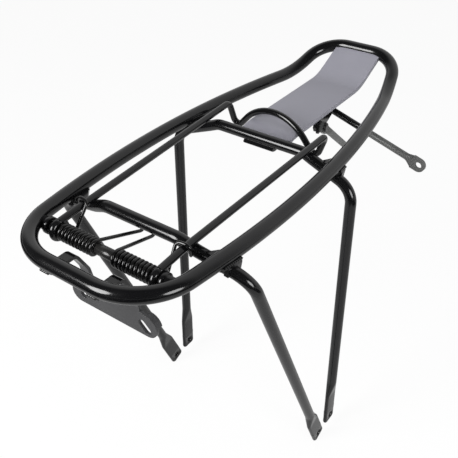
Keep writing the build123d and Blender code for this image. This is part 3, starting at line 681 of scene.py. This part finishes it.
@dataclass
class WheelHoop:
    """One hoop over the wheel: crossbar, dips, shoulders, legs and two pressed, bored feet.

    Attributes are in millimetres: the feet's bolt axis, the crossbar, the dips and the feet.
    """

    node: str
    foot_y: float
    foot_z: float
    bar_y: float
    flat_half: float
    dip_x: float
    dip_drop: float
    leg_top_x: float = 75.4
    foot_x: float = 78.4
    dip_bend: float = 14.0
    shoulder_bend: float = 17.0
    weld_gap: float = 0.04
    foot_width: float = 14.0
    foot_thick: float = 3.4
    foot_taper: float = 14.0
    foot_flat: float = 34.0
    foot_end: float = 7.6
    foot_corner: float = 3.0
    hole_radius: float = 2.75
    plate_back: float = 9.0
    tube_stop: float = 5.0
    skin: float = 0.01
    end_step: float = 0.05
    slopes: tuple = (2.0, 60.0)
    halvings: int = 50
    plate_sides: int = 96
    edge_rings: int = 9
    sides: int = 48
    spacing: float = 2.0

    @staticmethod
    def pair() -> tuple:
        """The front and the rear hoop.

        Returns:
            Both hoops.
        """
        rear_y = SIZES.rear_bar_y
        front = WheelHoop(
            "front_hoop", foot_y=0.0, foot_z=0.0, bar_y=0.0, flat_half=36.0, dip_x=44.0, dip_drop=3.5
        )
        rear = WheelHoop(
            "rear_hoop", foot_y=-20.0, foot_z=-4.0, bar_y=rear_y, flat_half=28.5, dip_x=40.0, dip_drop=6.0
        )
        return front, rear

    def __post_init__(self) -> None:
        """Works out the hoop's plane, its right foot and shoulder, and the direction down its leg."""
        self.origin = np.array([0.0, self.foot_y, self.foot_z])
        rise = np.array([0.0, self.bar_y, SIZES.rail_height + SIZES.crossbar_rise]) - self.origin
        self.bar = float(np.linalg.norm(rise))
        self.up = rise / self.bar
        self.normal = np.cross(RIGHTWARD, self.up)
        self.foot = self._place(self.foot_x, 0.0)
        self.shoulder = self._place(self.leg_top_x, self.shoulder_height())
        self.leg = unit(self.foot - self.shoulder)

    def _place(self, x: float, height: float) -> ndarray:
        """Point in the hoop's plane."""
        return self.origin + RIGHTWARD * x + self.up * height

    def shoulder_height(self) -> float:
        """Height of the shoulder's corner, for which the shoulder just clears the rail.

        The slope is halved in on until the two straight lines are the tubes' radii apart.

        Returns:
            Height up the plane.
        """
        rail, rail_way = SIZES.rail_at(self.bar_y)
        dip = self._place(self.dip_x, self.bar - self.dip_drop)
        wanted = SIZES.rail_radius + SIZES.hoop_radius + self.weld_gap
        low, high = (math.radians(slope) for slope in self.slopes)
        for _ in range(self.halvings):
            slope = (low + high) / 2.0
            way = RIGHTWARD * math.cos(slope) - self.up * math.sin(slope)
            square = np.cross(way, rail_way)
            gap = abs(float((rail - dip).dot(square))) / float(np.linalg.norm(square))
            low, high = (slope, high) if gap < wanted else (low, slope)
        return self.bar - self.dip_drop - (self.leg_top_x - self.dip_x) * math.tan(slope)

    def tube(self) -> Surface:
        """The bent tube with its legs pressed flat towards the feet.

        Along a leg the section goes evenly from the round tube to the flat slot over the taper.

        Returns:
            The closed tube.
        """
        bar = [(0.0, self.bar), (self.flat_half, self.bar), (self.dip_x, self.bar - self.dip_drop)]
        corners = [self._place(*place) for place in bar]
        corners += [self.shoulder, self.foot - self.leg * self.tube_stop]
        half = rounded_route(corners, [self.dip_bend, self.dip_bend, self.shoulder_bend], self.spacing)
        half = np.insert(half, -1, half[-1] - self.leg * self.end_step, axis=0)
        to_foot = (self.foot - half) @ self.leg
        flat_from = self.foot_flat - self.foot_end
        pressed = np.clip((flat_from + self.foot_taper - to_foot) / self.foot_taper, 0.0, 1.0)
        round_dia = 2.0 * SIZES.hoop_radius
        sizes = [round_dia + (flat - round_dia) * pressed for flat in (self.foot_width, self.foot_thick)]
        path = np.vstack([half[:0:-1] * MIRROR, half])
        wide, thick = (np.concatenate([size[:0:-1], size]) for size in sizes)
        return pressed_tube(path, self.normal, wide, thick, self.sides)

    def foot_plate(self) -> Surface:
        """The right foot's end: a plate of polar rings between its bolt hole and its rounded outline.

        A ring is the outline's distance r(a) drawn in by (1 - cos(b)) * thick / 2 at the height
        sin(b) * thick / 2, for b from -90 to 90 degrees; the last two rings line the hole.

        Returns:
            The closed plate.
        """
        angle = full_turn(self.plate_sides)
        reach = self._outline(np.cos(angle), np.sin(angle))
        half = self.foot_thick / 2.0 - self.skin
        turn = np.linspace(-np.pi / 2.0, np.pi / 2.0, self.edge_rings)[:, None]
        hole = np.full((2, len(angle)), self.hole_radius)
        radius = np.vstack([reach - (1.0 - np.cos(turn)) * half, hole])
        height = np.concatenate([np.sin(turn[:, 0]), [1.0, -1.0]]) * half
        flat = np.cos(angle)[:, None] * self.normal + np.sin(angle)[:, None] * self.leg
        square = np.cross(self.normal, self.leg)
        points = self.foot + radius[..., None] * flat[None] + height[:, None, None] * square
        return Surface.of_rings(points)

    def _outline(self, across: ndarray, along: ndarray) -> ndarray:
        """Distance from the hole to the foot's outline: a rectangle with its two end corners rounded.

        Args:
            across: Cosine of each direction, across the foot.
            along: Sine of each direction, towards the foot's end.

        Returns:
            Distance in each direction.
        """
        half = self.foot_width / 2.0 - self.skin
        ends = np.where(along > 0.0, self.foot_end, self.plate_back)
        tiny = 1e-9
        flat = np.minimum(half / np.maximum(np.abs(across), tiny), ends / np.maximum(np.abs(along), tiny))
        middle = np.array([half - self.foot_corner, self.foot_end - self.foot_corner])
        toward = np.abs(across) * middle[0] + along * middle[1]
        arc = toward + np.sqrt(np.maximum(toward**2 - middle.dot(middle) + self.foot_corner**2, 0.0))
        in_corner = (flat * np.abs(across) > middle[0]) & (flat * along > middle[1])
        return np.where(in_corner, arc, flat)

    def build(self, shop: PaintShop) -> Object:
        """Bends and presses the hoop and paints it.

        Args:
            shop: Source of finishes.

        Returns:
            The hoop.
        """
        plate = self.foot_plate()
        surface = Surface.join([self.tube(), plate, plate.mirrored()])
        return shop.dress(f"{self.node}_bent", surface, self.node)


@dataclass
class SprungClip:
    """The clip: one wire with an eye, an arm and a hanging dip on each side, and a finger arch between.

    Attributes are in millimetres and degrees: the wire, the eyes, the arms, the dips and the arch.
    """

    wire: float = 2.4
    eye_x: float = 38.4
    eye_ring: float = 4.95
    eye_bore: float = 2.55
    eye_band: float = 1.7
    eye_turn: float = 165.0
    eye_rings: int = 33
    eye_sides: int = 56
    knee_y: float = -136.0
    knee_rise: float = 4.7
    tip_x: float = 42.6
    tip_y: float = 18.6
    tip_rise: float = 9.2
    tip_skew: float = 0.04
    arch_skew: float = 0.10
    dip_y: float = 20.7
    dip_drop: float = 7.8
    dip_xs: tuple = (38.6, 33.0)
    arch_rise: float = 11.7
    arch_slope: float = 49.5
    bends: tuple = (40.0, 6.0, 4.2, 4.2)
    sides: int = 32
    spacing: float = 1.0

    def arm_corners(self, side: Side) -> list:
        """Corners of one side of the clip, from its eye to the inner end of its dip.

        Args:
            side: Which side.

        Returns:
            Corner points.
        """
        sign, level = side.value, SIZES.rail_height
        eye_x = SIZES.clip_shift + sign * self.eye_x
        tip_x = sign * self.tip_x
        low = level - self.dip_drop
        dips = [(sign * x, self.dip_y - sign * x * self.arch_skew, low) for x in self.dip_xs]
        return [
            (eye_x, SIZES.axle_y, SIZES.axle_z + self.eye_ring),
            (eye_x, self.knee_y, level + self.knee_rise),
            (SIZES.clip_shift + tip_x, self.tip_y - tip_x * self.tip_skew, level + self.tip_rise),
            *dips,
        ]

    def centre_line(self) -> ndarray:
        """Stations from the right eye round the arch to the left eye.

        Returns:
            Points of the path.
        """
        slope = math.radians(self.arch_slope)
        foot = self.dip_xs[1] * math.tan(slope)
        bend = (foot - self.dip_drop - self.arch_rise) / (1.0 / math.cos(slope) - 1.0)
        peak = (0.0, self.dip_y, SIZES.rail_height - self.dip_drop + foot)
        corners = [*self.arm_corners(Side.RIGHT), peak, *self.arm_corners(Side.LEFT)[::-1]]
        return rounded_route(corners, [*self.bends, bend, *self.bends[::-1]], self.spacing)

    def eye(self, side: Side) -> Surface:
        """An eye: the wire's ring round the axle, with a plain bore.

        A ring has the radius eye_ring + wire * cos(b) and the height wire * sin(b), kept out of the bore.

        Args:
            side: Which side.

        Returns:
            The closed eye.
        """
        turn = np.radians(np.linspace(-self.eye_turn, self.eye_turn, self.eye_rings))
        radius = np.maximum(self.eye_ring + self.wire * np.cos(turn), self.eye_bore)
        height = self.wire * np.sin(turn)
        inner = np.cos(turn) < 0.0
        height = np.where(inner, np.sign(height) * np.maximum(np.abs(height), self.eye_band), height)
        rings = [(self.eye_bore, -self.eye_band), *zip(radius, height), (self.eye_bore, self.eye_band)]
        middle = (SIZES.clip_shift + side.value * self.eye_x, SIZES.axle_y, SIZES.axle_z)
        return turned_piece(rings, middle, self.eye_sides, True)

    def build(self, shop: PaintShop) -> Object:
        """Bends the wire and paints it.

        Args:
            shop: Source of finishes.

        Returns:
            The clip.
        """
        bar = swept_wire(self.centre_line(), self.wire, self.sides)
        surface = Surface.join([bar, *(self.eye(side) for side in Side)])
        return shop.dress("clip_bail_bent", surface, "clip_bail", body=CLIP_BODY)


@dataclass
class TorsionSpring:
    """A spring wound round the clip's axle, hooked in front of the crossbar and over the clip's arm.

    Attributes are in millimetres: wire and coil radii, the coil's ends, and the two hooks.
    """

    side: Side
    wire: float = 1.1
    coil: float = 4.65
    inner_x: float = 7.8
    outer_x: float = 34.6
    half_turns: int = 19
    hook_drop: float = 10.2
    hook_rise: float = 8.0
    tail_out_y: float = -147.0
    hook_fall: float = 4.0
    hook_y: float = -135.6
    hook_lead: float = 1.0
    hook_trail: float = 0.8
    bend: float = 3.0
    side_gap: float = 0.8
    over_gap: float = 0.31
    sides: int = 18
    stations_per_turn: int = 44
    spacing: float = 0.8
    end_share: float = 0.8

    def centre_line(self) -> ndarray:
        """The wire's centre line on the right side.

        The coil is (x rising evenly, axle_y - coil * sin(a), axle_z + coil * cos(a)); the first tail
        touches it where it leaves for the crossbar, and the second runs on under the arm and over it.

        Returns:
            Stations from the crossbar's end to the arm's.
        """
        hook_y = SIZES.rear_bar_y + SIZES.hoop_radius + self.wire + SIZES.touch_gap
        hook_z = SIZES.rail_height + SIZES.crossbar_rise - self.hook_drop
        away_y, away_z = hook_y - SIZES.axle_y, hook_z - SIZES.axle_z
        start = math.atan2(away_z, away_y) - math.asin(self.coil / math.hypot(away_y, away_z))
        stop = math.pi * self.half_turns
        lead = (self.outer_x - self.inner_x) / (stop - start)
        angle = np.linspace(start, stop, int((stop - start) / (2 * np.pi) * self.stations_per_turn))
        along = self.inner_x + lead * (angle - start)
        across, up = -self.coil * np.sin(angle), self.coil * np.cos(angle)
        coil = np.stack([along, SIZES.axle_y + across, SIZES.axle_z + up], axis=1)
        first_way = self._way(start, lead)
        last_way = self._way(stop, lead)
        hook = coil[0] - first_way * ((coil[0][1] - hook_y) / first_way[1])
        inner = rounded_route([hook + UPWARD * self.hook_rise, hook, coil[0]], [self.bend], self.spacing)
        clip, level = SprungClip, SIZES.rail_height
        knee = np.array([clip.eye_x, clip.knee_y, level + clip.knee_rise])
        tip = np.array([clip.tip_x, clip.tip_y, level + clip.tip_rise])
        arm = knee + (tip - knee) * ((self.hook_y - knee[1]) / (tip[1] - knee[1]))
        beside = clip.wire + self.wire + self.side_gap
        above = arm[2] + clip.wire + self.wire + self.over_gap
        over_arm = [
            coil[-1],
            coil[-1] + last_way * ((self.tail_out_y - coil[-1][1]) / last_way[1]),
            (arm[0] - beside, self.hook_y - self.hook_lead, above),
            (arm[0] + beside, self.hook_y, above),
            (arm[0] + beside, self.hook_y + self.hook_trail, arm[2] - self.hook_fall),
        ]
        outer = rounded_route(over_arm, [self.bend] * 3, self.spacing)
        return np.vstack([inner[:-1], coil, outer[1:]])

    def _way(self, angle: float, lead: float) -> ndarray:
        """Unit direction of the coil at an angle."""
        return unit([lead, -self.coil * math.cos(angle), -self.coil * math.sin(angle)])

    def build(self, shop: PaintShop) -> Object:
        """Winds the wire, paints it and bakes it in place, on no body.

        Args:
            shop: Source of finishes.

        Returns:
            The spring.
        """
        path = self.centre_line()
        radii = np.full(len(path), self.wire)
        radii[[0, -1]] = self.wire * self.end_share
        surface = swept_wire(path, radii, self.sides)
        if self.side is Side.LEFT:
            surface = surface.mirrored()
        surface.points[:, 0] += SIZES.clip_shift
        node = f"{self.side.word}_spring"
        piece = shop.dress(f"{node}_wire", surface, node, Finish.SPRING_WIRE, None)
        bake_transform(piece)
        return piece


@dataclass
class WeldBeads:
    """Rippled weld beads along the saddles and the light bracket's tabs.

    Attributes are in millimetres: the bead, its ripples and where the saddles sit on the rail.
    """

    bead: float = 0.95
    ripple: float = 0.16
    ripple_length: float = 1.5
    saddle_back: float = 4.0
    saddle_front: tuple = ((SIZES.rear_bar_y, 11.0), (0.0, 5.0))
    saddle_side: float = 5.0
    saddle_drop: float = 2.5
    tab_x: float = 18.0
    tab_half: float = 3.75
    tab_offset: float = 2.6
    tab_z: float = 240.9
    least_end: float = 0.04
    saddle_stations: int = 64
    tab_stations: int = 40
    sides: int = 12

    def bead_on(self, path: ndarray) -> Surface:
        """A bead on a path: its radius ripples along it and draws in at both ends.

        radius = bead * (1 + ripple * |sin(pi * s / ripple_length)|), times a rounded end.

        Args:
            path: Stations of the bead's centre line.

        Returns:
            The closed bead.
        """
        step = np.linalg.norm(np.diff(path, axis=0), axis=1)
        run = np.concatenate([[0.0], np.cumsum(step)])
        swell = 1.0 + self.ripple * np.abs(np.sin(np.pi * run / self.ripple_length))
        to_end = np.clip(np.minimum(run, run[-1] - run) / self.bead, 0.0, 1.0)
        radii = self.bead * swell * np.sqrt(1.0 - (1.0 - np.maximum(to_end, self.least_end)) ** 2)
        return swept_wire(path, radii, self.sides)

    def bead_pair(self, middle: ndarray, way: ndarray, aside: ndarray, run: ndarray) -> list:
        """Two beads along a straight line, one on each side of it."""
        line = middle + way * run[:, None]
        return [self.bead_on(line + aside * sign) for sign in (-1.0, 1.0)]

    def saddle_beads(self) -> list:
        """Beads where the right rail meets the upper edges of its saddles.

        Returns:
            Four beads.
        """
        beads = []
        for bar_y, front in self.saddle_front:
            point, way = SIZES.rail_at(bar_y)
            outward = np.array([way[1], -way[0], 0.0])
            run = np.linspace(-self.saddle_back, front, self.saddle_stations)
            beads += self.bead_pair(point - UPWARD * self.saddle_drop, way, outward * self.saddle_side, run)
        return beads

    def tab_beads(self) -> list:
        """Beads under the rear tube, along both sides of the right light tab.

        Returns:
            Two beads.
        """
        run = np.linspace(-self.tab_half, self.tab_half, self.tab_stations)
        middle = np.array([self.tab_x, SIZES.loop_rear_y, self.tab_z])
        return self.bead_pair(middle, RIGHTWARD, np.array([0.0, self.tab_offset, 0.0]), run)

    def build(self, shop: PaintShop) -> list:
        """Lays the beads on both sides.

        Args:
            shop: Source of finishes.

        Returns:
            The bead pieces.
        """
        made = []
        for name, beads in (("saddle_welds", self.saddle_beads()), ("light_tab_welds", self.tab_beads())):
            right = Surface.join(beads)
            made.append(shop.dress(name, Surface.join([right, right.mirrored()]), None))
        return made


@dataclass
class ClipAxle:
    """The clip's axle with peened, domed heads, its two ears and the plain sleeve between the springs.

    Attributes are in millimetres.
    """

    ear_in: float = 42.9
    ear_out: float = 45.9
    ear_radius: float = 5.5
    boss_radius: float = 4.3
    boss_end: float = 51.0
    head_radius: float = 4.0
    head_thick: float = 1.2
    sleeve_half: float = 6.9
    sleeve_radius: float = 3.5
    sleeve_bore: float = 2.55
    chamfer: float = 0.4
    rim: tuple = ((-0.15, 0.0), (0.0, 0.2), (-0.1, 0.5))
    crown: tuple = ((0.82, 0.28), (0.55, 0.06), (0.32, 0.0), (0.18, 0.22))
    pit: tuple = (0.02, 0.3)
    fillet: float = 0.5
    fillet_span: tuple = (0.1, 0.6)
    pocket_gap: float = 0.1
    pocket_skin: float = 0.02

    def build(self, shop: PaintShop) -> list:
        """Turns the axle, the sleeve and the ears.

        Args:
            shop: Source of finishes.

        Returns:
            The four pieces.
        """
        middle = np.array([0.0, SIZES.axle_y, SIZES.axle_z])
        dome = self.head()
        axle = [(radius, -height) for radius, height in reversed(dome)] + dome
        ear = turned_piece(self.ear(), middle, closed=True)
        sleeve = turned_piece(self.sleeve(), middle + RIGHTWARD * SIZES.clip_shift, closed=True)
        turned = {
            "clip_axle": (turned_piece(axle, middle), Finish.BLACK_STEEL),
            "axle_sleeve": (sleeve, Finish.BLACK_STEEL),
            "right_axle_ear": (ear, Finish.GLOSS_BLACK),
            "left_axle_ear": (ear.mirrored(), Finish.GLOSS_BLACK),
        }
        return [shop.dress(f"{node}_turned", shape, node, finish) for node, (shape, finish) in turned.items()]

    def sleeve(self) -> list:
        """Rings of the sleeve, with its outer edges broken.

        Returns:
            Radius and height of each ring.
        """
        long, wide, cut = self.sleeve_half, self.sleeve_radius, self.chamfer
        outside = [(wide - cut, -long), (wide, cut - long), (wide, long - cut), (wide - cut, long)]
        return [*outside, (self.sleeve_bore, long), (self.sleeve_bore, -long)]

    def head(self) -> list:
        """Rings of the right head: a low dome with a peened dimple in its middle.

        Returns:
            Radius and height of each ring.
        """
        base, top = self.ear_out + SIZES.touch_gap, self.ear_out + self.head_thick
        rings = [(SIZES.axle_radius, self.ear_out)]
        rings += [(self.head_radius + wider, base + higher) for wider, higher in self.rim]
        rings += [(self.head_radius * share, top - lower) for share, lower in self.crown]
        return [*rings, (self.pit[0], top - self.pit[1])]

    def ear(self) -> list:
        """Rings of the right ear: a bored round flange on a boss that runs out into the rail.

        Returns:
            Radius and height of each ring.
        """
        cut, wide, head = self.chamfer, self.ear_radius, self.ear_out + SIZES.touch_gap
        pocket, floor = self.head_radius + self.pocket_gap, head - self.pocket_skin
        flange = [(wide - cut, self.ear_in), (wide, self.ear_in + cut), (wide, self.ear_out - cut)]
        return [
            (self.sleeve_bore, self.ear_in),
            *flange,
            (wide - cut, self.ear_out),
            (self.boss_radius + self.fillet, self.ear_out + self.fillet_span[0]),
            (self.boss_radius, head + self.fillet_span[1]),
            (self.boss_radius, self.boss_end),
            (pocket, self.boss_end),
            (pocket, floor),
            (self.sleeve_bore, floor),
        ]


@dataclass
class CadCoats:
    """The CAD nodes that stay in view, by finish; a star stands for both sides."""

    nodes: tuple = (
        (Finish.GLOSS_BLACK, "front_*_saddle rear_*_saddle deck_hook stay_bracket *_swivel_lug"),
        (Finish.SATIN_BLACK, "light_bracket"),
        (Finish.STAY_GREY, "right_stay"),
        (Finish.STAY_DIPPED, "left_stay"),
        (Finish.DECK_GREY, "deck_plate"),
        (Finish.BLACK_STEEL, "*_swivel_rivet *_stay_bolt *_stay_nut"),
    )

    def build(self, shop: PaintShop) -> None:
        """Paints each node.

        Args:
            shop: Source of finishes.
        """
        for finish, names in self.nodes:
            for node in sorted({name.replace("*", side.word) for name in names.split() for side in Side}):
                shop.coat(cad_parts[node], finish)


# The set: camera, lamps, floor and surroundings
def direction(bearing: float, height: float) -> Vector:
    """Direction from degrees clockwise of straight ahead and degrees above the level."""
    turn, lift = math.radians(bearing), math.radians(height)
    return Vector((math.sin(turn) * math.cos(lift), math.cos(turn) * math.cos(lift), math.sin(lift)))


@dataclass(frozen=True)
class PhotoCamera:
    """The camera as it stood for the photograph.

    Attributes:
        target: Point that it looks at, in metres.
        distance: Distance to that point, in metres.
        azimuth: Turn to the right of straight behind, in degrees.
        elevation: Angle above the level, in degrees.
        roll: Turn about the line of sight, in degrees.
        focal_px: Focal length in pixels of the square image.
        image_px: Width of the image.
        sensor: Sensor width in millimetres.
        near: Nearest distance that it sees, in metres.
    """

    target: tuple = (-0.022949, -0.006152, 0.160322)
    distance: float = 0.536979
    azimuth: float = 35.923
    elevation: float = 36.113
    roll: float = -0.432
    focal_px: float = 671.235
    image_px: float = 458.0
    sensor: float = 36.0
    near: float = 0.01

    def build(self) -> None:
        """Makes the camera and hands it to the scene."""
        sight, roll = direction(-self.azimuth, -self.elevation), math.radians(self.roll)
        level = direction(90.0 - self.azimuth, 0.0)
        upright = level.cross(sight)
        right = level * math.cos(roll) + upright * math.sin(roll)
        up = upright * math.cos(roll) - level * math.sin(roll)
        data = bpy.data.cameras.new("photo_camera")
        data.sensor_fit = "HORIZONTAL"
        data.sensor_width = self.sensor
        data.lens = self.focal_px / self.image_px * self.sensor
        data.clip_start = self.near
        made = placed("photo_camera", data)
        turned = Matrix((right, up, -sight)).transposed().to_4x4()
        made.matrix_world = Matrix.Translation(Vector(self.target) - sight * self.distance) @ turned
        bpy.context.scene.camera = made


@dataclass(frozen=True)
class SoftBox:
    """An oval lamp that faces the rack.

    Attributes:
        name: Name of the lamp.
        bearing: Direction from the rack, in degrees clockwise from straight ahead.
        height: Angle above the level, in degrees.
        distance: Distance from the rack, in metres.
        size: Width and height in metres.
        glow: Radiance of its face, where 1 is white.
        mirrored: False where gloss doesn't mirror it.
    """

    name: str
    bearing: float
    height: float
    distance: float
    size: tuple
    glow: float
    mirrored: bool = True

    def build(self, centre: Vector) -> None:
        """Hangs the lamp.

        Args:
            centre: Point that it faces.
        """
        data = bpy.data.lights.new(self.name, "AREA")
        data.shape = "ELLIPSE"
        data.size, data.size_y = self.size
        data.energy = self.glow * math.pi * math.pi / 4.0 * self.size[0] * self.size[1]
        made = placed(self.name, data)
        away = direction(self.bearing, self.height)
        made.location = centre + away * self.distance
        made.rotation_euler = away.to_track_quat("Z", "Y").to_euler()
        made.visible_camera = False
        made.visible_glossy = self.mirrored


@dataclass(frozen=True)
class Studio:
    """Pale floor, dim surroundings and the lamps of a small product studio.

    Attributes:
        centre: Point that the lamps face, in metres.
        floor_half: Half width of the floor, in metres.
        floor_gap: Room between the floor and the feet, in metres.
        floor_glow: Share of the floor's look that is plain white for the camera.
        floor_mirror: Radiance of that white where gloss mirrors it.
        floor_shade: Colour of the floor itself.
        card_shade: Colour of the dark cards.
        bright_way: Direction in which the surroundings are pale.
        dusk: Range of the share along that direction over which they turn from dim to pale.
        dim: Radiance of the surroundings behind the rack.
        pale: Radiance of the surroundings ahead of it.
        backdrop: Radiance that the camera sees there, as the far floor has.
        flag_inner: Half width, rear edge and front edge of the table between the dark cards, in metres.
        flag_outer: Half width and rear edge of the dark cards, in metres.
        flag_height: Height of the dark cards, in metres.
        lamps: The lamps.
    """

    centre: tuple = (0.0, -0.02, 0.2)
    floor_half: float = 6.0
    floor_gap: float = 0.0006
    floor_glow: float = 0.92
    floor_mirror: float = 0.56
    floor_shade: tuple = (0.9, 0.9, 0.9, 1.0)
    card_shade: tuple = (0.02, 0.02, 0.02, 1.0)
    bright_way: tuple = (-0.2, 0.98, 0.0)
    dusk: tuple = (0.05, 0.55)
    dim: tuple = (0.07, 0.07, 0.07)
    pale: tuple = (0.78, 0.78, 0.78)
    backdrop: tuple = (0.943, 0.943, 0.943)
    flag_inner: tuple = (0.48, -0.38, 0.3)
    flag_outer: tuple = (2.0, -2.5)
    flag_height: float = -0.008
    lamps: tuple = (
        SoftBox("fill_softbox", 135.0, 58.0, 1.5, (1.7, 1.7), 1.3, False),
        SoftBox("left_softbox", -160.0, 24.0, 1.3, (0.62, 0.8), 14.0),
        SoftBox("right_softbox", 106.0, 11.0, 1.3, (0.6, 0.6), 9.0),
    )

    def build(self) -> None:
        """Sets up the floor, the world and the lamps."""
        self._floor()
        self._flag()
        self._world()
        for lamp in self.lamps:
            lamp.build(Vector(self.centre))
        bpy.context.scene.view_settings.view_transform = "Standard"

    @staticmethod
    def _sheet(name: str, paint: str, strips: Sequence, height: float) -> tuple:
        """A level sheet of rectangles, with a new paint.

        Args:
            name: Name of the sheet.
            paint: Name of its material.
            strips: Rectangles as X from and to, Y from and to.
            height: Height of the sheet.

        Returns:
            The sheet and the node book of its paint.
        """
        mesh = bpy.data.meshes.new(name)
        flat = [xy for a, b, c, d in strips for xy in ((a, c), (b, c), (b, d), (a, d))]
        corners = [(*xy, height) for xy in flat]
        mesh.from_pydata(corners, [], np.arange(len(corners)).reshape(-1, 4).tolist())
        material = bpy.data.materials.new(paint)
        mesh.materials.append(material)
        return placed(name, mesh), NodeBook(material)

    def _floor(self) -> None:
        """White floor just under the feet, which keeps a soft shadow."""
        half = self.floor_half
        square = (-half, half, -half, half)
        made, book = self._sheet("floor", "white_floor", [square], CAD_BOX[0][2] - self.floor_gap)
        camera, glossy, through = (book.ray(kind) for kind in ("Camera", "Glossy", "Transmission"))
        seen = (camera + glossy + through).over(0.0, 1.0) * self.floor_glow
        matt = book.make("BsdfDiffuse", {"Color": self.floor_shade})
        strength = camera + through + glossy * self.floor_mirror
        white = book.make("Emission", {"Color": (1.0, 1.0, 1.0, 1.0), "Strength": strength})
        both = book.make("MixShader", {0: seen, 1: matt, 2: white})
        book.make("OutputMaterial", {"Surface": both})

    def _world(self) -> None:
        """Surroundings, pale ahead of the rack and dim behind it, that look like the far floor."""
        world = bpy.data.worlds.new("studio")
        bpy.context.scene.world = world
        book = NodeBook(world)
        way = book.make("TexCoord", output="Generated")
        share = book.make("VectorMath", {0: way, 1: self.bright_way}, "Value", operation="DOT_PRODUCT")
        sky = book.mix(share.over(*self.dusk), self.dim, self.pale)
        seen = (book.ray("Camera") + book.ray("Transmission")).over(0.0, 1.0)
        sky = book.mix(seen, sky, self.backdrop)
        glow = book.make("Background", {"Color": sky, "Strength": 1.0})
        book.make("OutputWorld", {"Surface": glow})

    def _flag(self) -> None:
        """Dark cards round the table's sides and rear that show only in reflections."""
        half, near, front = self.flag_inner
        wide, far = self.flag_outer
        strips = ((-wide, wide, far, near), (-wide, -half, near, front), (half, wide, near, front))
        made, book = self._sheet("dark_flag", "black_card", strips, self.flag_height)
        for kind in ("camera", "diffuse", "shadow", "transmission", "volume_scatter"):
            setattr(made, f"visible_{kind}", False)
        card = book.make("BsdfDiffuse", {"Color": self.card_shade})
        book.make("OutputMaterial", {"Surface": card})


def main() -> None:
    """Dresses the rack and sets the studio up."""
    logging.basicConfig(level=logging.INFO, format="%(message)s")
    PhotoCamera().build()
    shop = PaintShop()
    CadCoats().build(shop)
    pieces = [PlatformLoop().build(shop)]
    pieces += [hoop.build(shop) for hoop in WheelHoop.pair()]
    pieces.append(SprungClip().build(shop))
    pieces += [TorsionSpring(side).build(shop) for side in Side]
    pieces += WeldBeads().build(shop)
    pieces += ClipAxle().build(shop)
    for piece in pieces:
        LOG.info("%s: %d faces", piece.name, len(piece.data.polygons))
    Studio().build()


if __name__ == "__main__":
    main()
